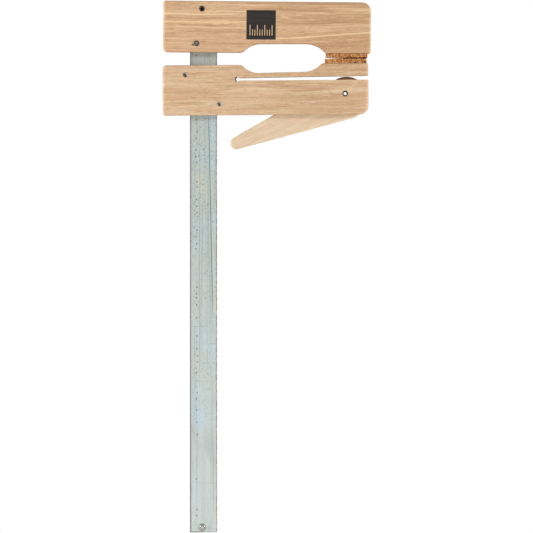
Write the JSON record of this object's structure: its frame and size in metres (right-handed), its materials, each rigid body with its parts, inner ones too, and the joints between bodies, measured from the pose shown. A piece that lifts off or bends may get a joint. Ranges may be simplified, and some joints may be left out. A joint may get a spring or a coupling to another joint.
{
  "type": "f clamp",
  "caption": "Wooden cam clamp: two hardwood jaws on a flat steel rail, cork pads, and an eccentric lever under the sliding jaw.",
  "frame": {"origin": "centre of the fixed jaw's cork pad face, where the work is gripped", "axes": "+Z along the rail towards the fixed jaw, +X from the rail to the jaw tips, Y across the jaws' thickness"},
  "size_m": [0.1538, 0.025, 0.3927],
  "materials": {
    "jaw_wood": "sanded hardwood, long streaky grain, unvarnished",
    "lever_wood": "pale sanded hardwood",
    "cork": "granular pressed cork",
    "zinc_steel": "zinc plated flat bar with fine drawn streaks",
    "pin_steel": "dark phosphated spring steel"
  },
  "bodies": {
    "fixed_arm": {"rail": "zinc_steel", "end_stop": "zinc_steel", "fixed_jaw": "jaw_wood", "fixed_jaw_pad": "cork", "fixed_jaw_pin_upper": "pin_steel", "fixed_jaw_pin_lower": "pin_steel"},
    "jam_pin": {"jam_pin_front": "pin_steel"},
    "sliding_jaw": {"sliding_jaw": "jaw_wood", "jam_pin_rear": "pin_steel", "kerf_pin": "pin_steel", "cam_pin": "pin_steel"},
    "tongue": {"spring_tongue": "jaw_wood", "sliding_jaw_pad": "cork"},
    "lever": {"cam_lever": "lever_wood"}
  },
  "joints": [
    {"name": "jaw_slide", "type": "slide", "parent": "fixed_arm", "child": "jam_pin", "axis": [0, 0, -1], "range_m": [0, 0.3015]},
    {"name": "jaw_tilt", "type": "hinge", "parent": "jam_pin", "child": "sliding_jaw", "pos_m": [-0.09387, 0, -0.03423], "axis": [0, 1, 0], "range_deg": [0, 3]},
    {"name": "tongue_flex", "type": "hinge", "parent": "sliding_jaw", "child": "tongue", "pos_m": [-0.08076, 0, -0.01603], "axis": [0, -1, 0], "range_deg": [0, 3]},
    {"name": "lever_swing", "type": "hinge", "parent": "sliding_jaw", "child": "lever", "pos_m": [-0.00103, 0, -0.02645], "axis": [0, -1, 0], "range_deg": [0, 90]}
  ],
  "couplings": [
    {"joint": "jaw_tilt", "follows": "lever_swing", "ratio": 0.03},
    {"joint": "tongue_flex", "follows": "lever_swing", "ratio": 0.033}
  ]
}
